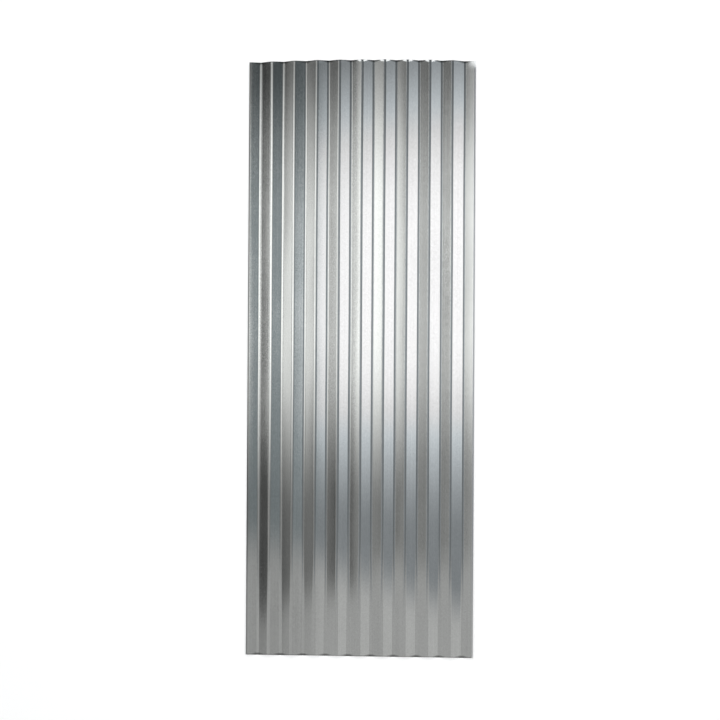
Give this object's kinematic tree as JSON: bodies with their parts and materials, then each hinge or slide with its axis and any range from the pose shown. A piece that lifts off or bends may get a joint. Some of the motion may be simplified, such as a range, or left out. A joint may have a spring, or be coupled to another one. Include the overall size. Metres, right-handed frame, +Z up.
{
  "type": "corrugated metal sheet",
  "caption": "Rectangular galvanised steel sheet pressed into even corrugations with straight flanks and rounded folds; both long edges end on a crest.",
  "frame": {"origin": "under the middle of the sheet, on the level surface that its valleys rest on", "axes": "X across the corrugations, Y along them (up in the picture), Z up through the sheet's thickness"},
  "size_m": [0.762, 2, 0.018],
  "materials": {
    "galvanised_steel": "mill-finish hot-dip zinc with a minimised spangle, satin, faint rolling lines along the waves"
  },
  "bodies": {
    "root": {"corrugated_sheet": "galvanised_steel"}
  },
  "joints": []
}
